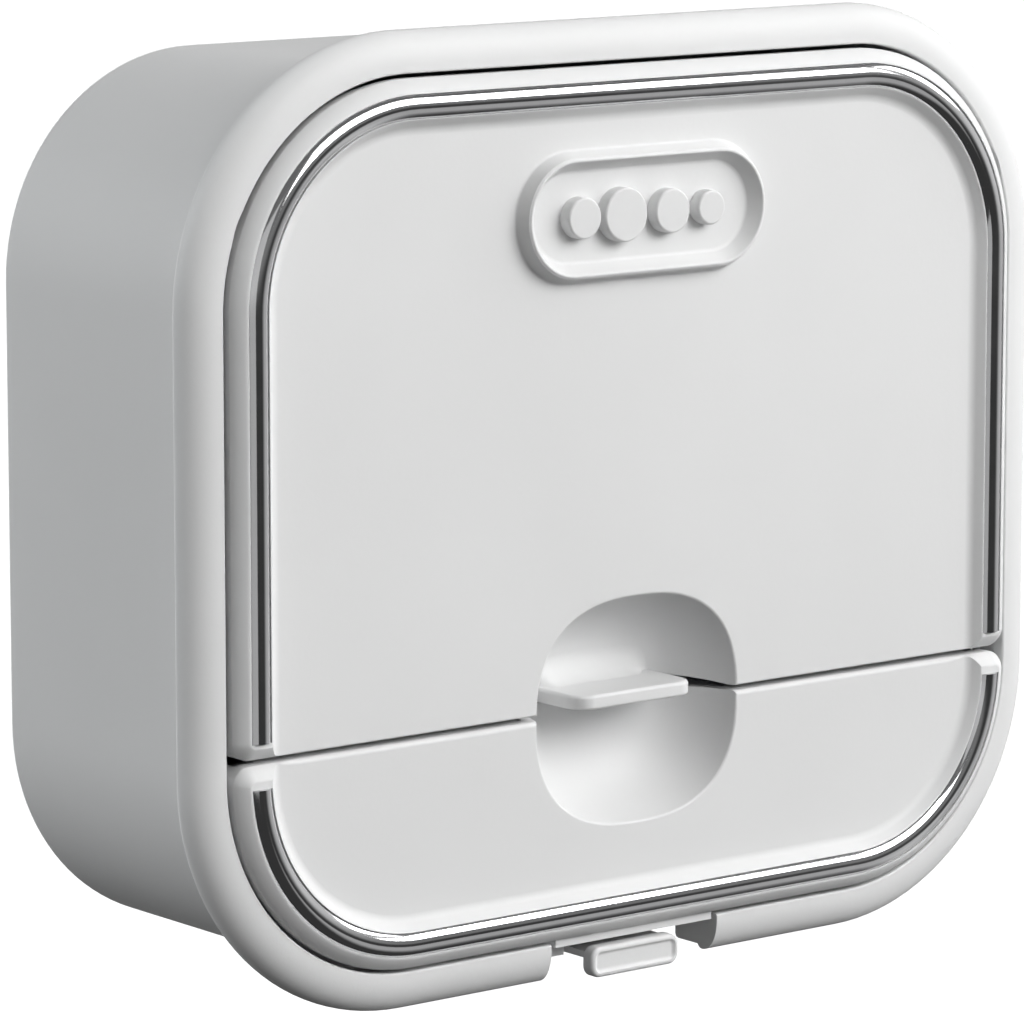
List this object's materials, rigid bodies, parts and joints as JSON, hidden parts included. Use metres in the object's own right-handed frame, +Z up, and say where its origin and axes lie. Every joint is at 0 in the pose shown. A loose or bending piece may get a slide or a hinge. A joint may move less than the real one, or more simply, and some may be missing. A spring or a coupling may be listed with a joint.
{
  "type": "wall soap dish",
  "caption": "Wall-hung soap box with rounded rim, flip-up lid with trim strip and finger scoop, pull-out drip drawer, drain rack and release catch on a keyhole wall plate.",
  "frame": {"origin": "middle of the adhesive pad's face, on the wall plane", "axes": "+Z up, +X to the right seen from the front, +Y into the wall; the front faces -Y"},
  "size_m": [0.1368, 0.049, 0.1211],
  "materials": {
    "white_plastic": "satin white moulded plastic",
    "bright_trim": "polished bright strip",
    "pin_steel": "drawn wire",
    "soft_pad": "translucent silicone"
  },
  "bodies": {
    "wall_plate": {"wall_plate": "white_plastic", "adhesive_pad": "soft_pad"},
    "housing": {"housing_shell": "white_plastic", "soap_rack": "white_plastic", "hinge_pin_left": "pin_steel", "hinge_pin_right": "pin_steel", "lid_bumper_left": "soft_pad", "lid_bumper_right": "soft_pad", "catch_pin": "pin_steel", "catch_spring": "pin_steel"},
    "lid": {"lid_panel": "white_plastic", "lid_trim": "bright_trim", "badge_plate": "white_plastic"},
    "drawer": {"drawer_front": "white_plastic", "drawer_trim": "bright_trim", "drip_tray": "white_plastic", "tray_screw_left": "pin_steel", "tray_screw_right": "pin_steel"},
    "catch": {"release_catch": "white_plastic"}
  },
  "joints": [
    {"name": "housing_lift", "type": "slide", "parent": "wall_plate", "child": "housing", "axis": [0, 0, 1], "range_m": [0, 0.01]},
    {"name": "lid_hinge", "type": "hinge", "parent": "housing", "child": "lid", "pos_m": [0, -0.0456, 0.0374], "axis": [-1, 0, 0], "range_deg": [0, 90]},
    {"name": "drawer_slide", "type": "slide", "parent": "housing", "child": "drawer", "axis": [0, -1, 0], "range_m": [0, 0.03]},
    {"name": "catch_press", "type": "hinge", "parent": "housing", "child": "catch", "pos_m": [0, -0.0226, -0.05775], "axis": [1, 0, 0], "range_deg": [0, 6], "stiffness_Nm_per_rad": 0.05, "springref_deg": -1.72}
  ]
}
